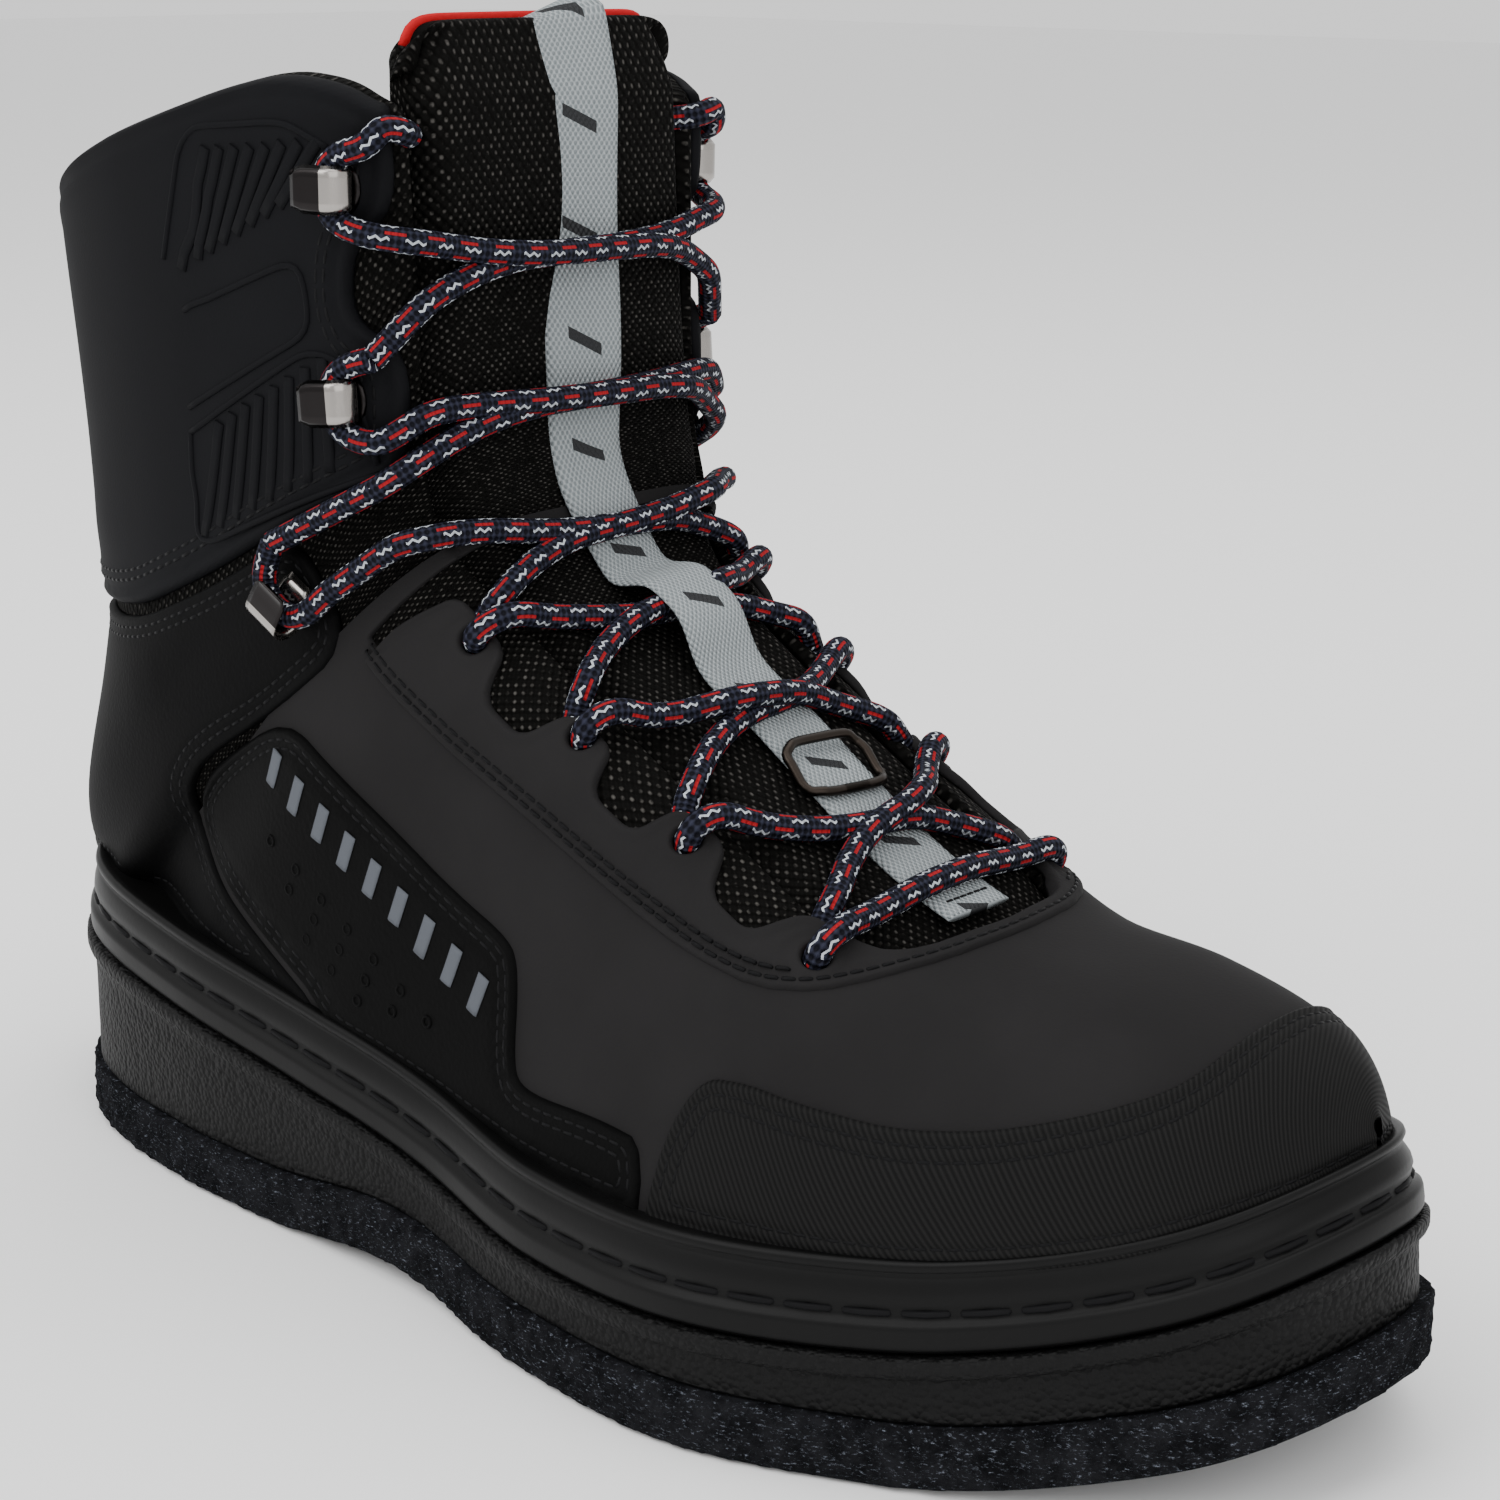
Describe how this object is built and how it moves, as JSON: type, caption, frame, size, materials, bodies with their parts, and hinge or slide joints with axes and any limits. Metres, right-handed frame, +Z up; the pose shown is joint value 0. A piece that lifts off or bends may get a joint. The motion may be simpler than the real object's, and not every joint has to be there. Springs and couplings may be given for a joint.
{
  "type": "wading boot",
  "caption": "Ankle-high laced wading boot for the right foot: hollow upper open at collar and throat, lace hooks, pull strap and a thick felt sole.",
  "frame": {"origin": "on the floor under the middle of the heel", "axes": "+X towards the toe, +Y towards the inner side of the foot, +Z up"},
  "size_m": [0.312, 0.1244, 0.2325],
  "materials": {
    "felt": "compressed felt with pale flecks",
    "midsole_rubber": "pebbled matt rubber",
    "band_rubber": "smooth matt rubber with a stitched groove",
    "footbed": "knit-covered foam",
    "upper_leather": "synthetic leather and mesh, textile lined",
    "toe_panel": "ribbed matt rubber",
    "side_panel": "smooth coated synthetic leather",
    "heel_panel": "smooth coated synthetic leather",
    "shaft_mould": "moulded matt rubber with embossed ribs",
    "stay_panel": "smooth coated synthetic leather",
    "tongue_weave": "coarse woven nylon over foam",
    "strap_webbing": "grey woven webbing",
    "ring_metal": "dark bronze plating",
    "hook_metal": "dark nickel plating",
    "lace_cord": "braided round cord"
  },
  "bodies": {
    "root": {"felt_outsole": "felt", "midsole": "midsole_rubber", "welt_band": "band_rubber", "insole": "footbed", "upper": "upper_leather", "toe_cap": "toe_panel", "side_rand_lateral": "side_panel", "side_rand_medial": "side_panel", "heel_counter": "heel_panel", "shaft_panel": "shaft_mould", "eyestay_lateral": "stay_panel", "eyestay_medial": "stay_panel", "tongue": "tongue_weave", "pull_strap": "strap_webbing", "lace_keeper": "ring_metal", "hook_top_lateral": "hook_metal", "hook_top_medial": "hook_metal", "hook_mid_lateral": "hook_metal", "hook_mid_medial": "hook_metal", "hook_ankle_lateral": "hook_metal", "hook_ankle_medial": "hook_metal", "lace_bar": "lace_cord", "lace_cross_1": "lace_cord", "lace_cross_2": "lace_cord", "lace_cross_3": "lace_cord", "lace_cross_4": "lace_cord", "lace_cross_5": "lace_cord", "lace_cross_6": "lace_cord"}
  },
  "joints": []
}
